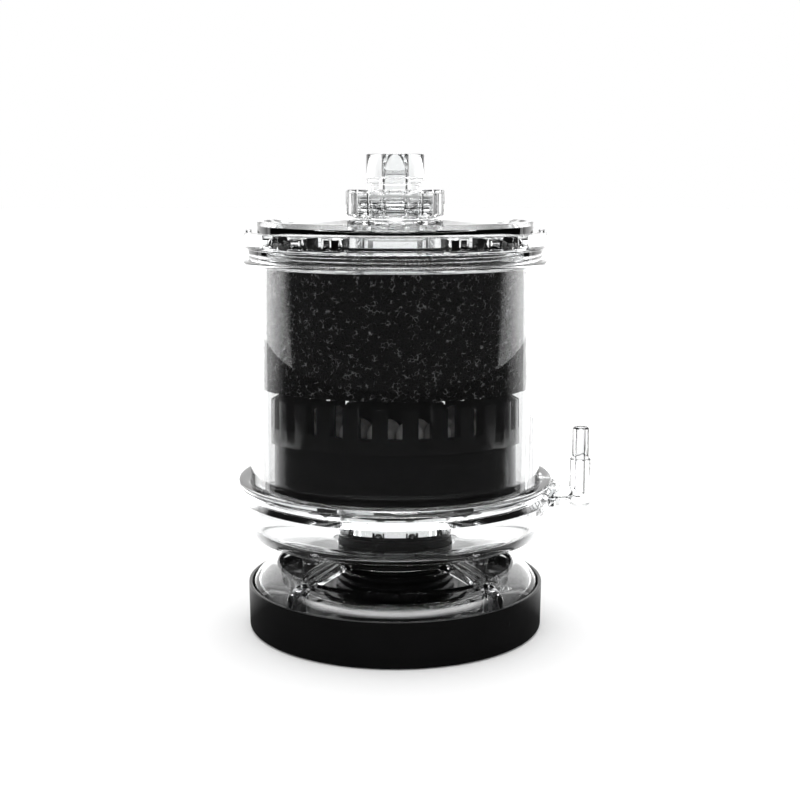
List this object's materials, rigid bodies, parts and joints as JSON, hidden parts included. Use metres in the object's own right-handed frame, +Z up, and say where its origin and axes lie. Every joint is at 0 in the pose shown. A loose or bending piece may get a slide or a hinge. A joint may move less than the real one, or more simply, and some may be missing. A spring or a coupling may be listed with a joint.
{
  "type": "protein skimmer",
  "caption": "Clear round in-tank air-driven skimmer: black weighted foot, ridged neck, clear bowl with airline elbow, foam and media cartridge in a clear tube, vented lid with nozzle.",
  "frame": {"origin": "centre of the foot pad's underside, on the object's own axis", "axes": "+Z up along the tube's axis, +X towards the airline elbow"},
  "size_m": [0.1101, 0.0976, 0.1463],
  "materials": {
    "clear_acrylic": "clear polished acrylic",
    "black_plastic": "glossy moulded",
    "black_rubber": "matt",
    "seal_rubber": "translucent silicone",
    "washer_plastic": "satin",
    "stainless_steel": "turned stainless",
    "ceramic": "porous fired ceramic",
    "black_foam": "open-cell coarse foam"
  },
  "bodies": {
    "stand": {"base_pad": "black_rubber", "base_shell": "black_plastic", "ballast_ring": "stainless_steel", "base_deck": "black_plastic", "dome": "clear_acrylic", "dome_screws": "stainless_steel"},
    "collar": {"neck_collar": "black_rubber"},
    "bowl_unit": {"neck": "black_plastic", "neck_gasket": "black_rubber", "neck_flange": "black_plastic", "neck_screws": "stainless_steel", "bowl": "clear_acrylic", "bowl_seal": "seal_rubber", "elbow_seal": "seal_rubber", "air_pipe": "clear_acrylic", "air_stone": "ceramic", "lift_chamber": "clear_acrylic"},
    "elbow": {"air_elbow": "clear_acrylic"},
    "cartridge": {"media_drum": "black_plastic", "drum_clips": "black_plastic", "slotted_ring": "black_plastic", "ceramic_media": "ceramic", "riser_tube": "clear_acrylic", "foam_ring": "black_foam"},
    "tube": {"body_tube": "clear_acrylic"},
    "lid_unit": {"lid": "clear_acrylic", "lid_seal": "seal_rubber", "window_guard": "black_plastic"},
    "washer": {"nut_washer": "washer_plastic"},
    "nut": {"ring_nut": "clear_acrylic"},
    "nozzle": {"outlet_nozzle": "clear_acrylic", "nozzle_seal": "seal_rubber"}
  },
  "joints": [
    {"name": "collar_rise", "type": "slide", "parent": "stand", "child": "collar", "axis": [0, 0, 1], "range_m": [0, 0.00585]},
    {"name": "bowl_unscrew", "type": "hinge", "parent": "collar", "child": "bowl_unit", "pos_m": [0, 0, 0.0266], "axis": [0, 0, 1], "range_deg": [0, 810]},
    {"name": "elbow_swivel", "type": "hinge", "parent": "bowl_unit", "child": "elbow", "pos_m": [0.0497, 0, 0.0414], "axis": [1, 0, 0], "range_deg": [-90, 90]},
    {"name": "cartridge_lift", "type": "slide", "parent": "bowl_unit", "child": "cartridge", "axis": [0, 0, 1], "range_m": [0, 0.06]},
    {"name": "tube_lift", "type": "slide", "parent": "cartridge", "child": "tube", "axis": [0, 0, 1], "range_m": [0, 0.08]},
    {"name": "lid_lift", "type": "slide", "parent": "tube", "child": "lid_unit", "axis": [0, 0, 1], "range_m": [0, 0.03]},
    {"name": "washer_rise", "type": "slide", "parent": "lid_unit", "child": "washer", "axis": [0, 0, 1], "range_m": [0, 0.0015]},
    {"name": "nut_unscrew", "type": "hinge", "parent": "washer", "child": "nut", "pos_m": [0, 0, 0.132], "axis": [0, 0, 1], "range_deg": [0, 360]},
    {"name": "nozzle_turn", "type": "hinge", "parent": "lid_unit", "child": "nozzle", "pos_m": [0, 0, 0.1325], "axis": [0, 0, 1], "range_deg": [-180, 180]}
  ],
  "couplings": [
    {"joint": "collar_rise", "follows": "bowl_unscrew", "m_per_rad": 0.0004138},
    {"joint": "washer_rise", "follows": "nut_unscrew", "m_per_rad": 0.00023873}
  ]
}
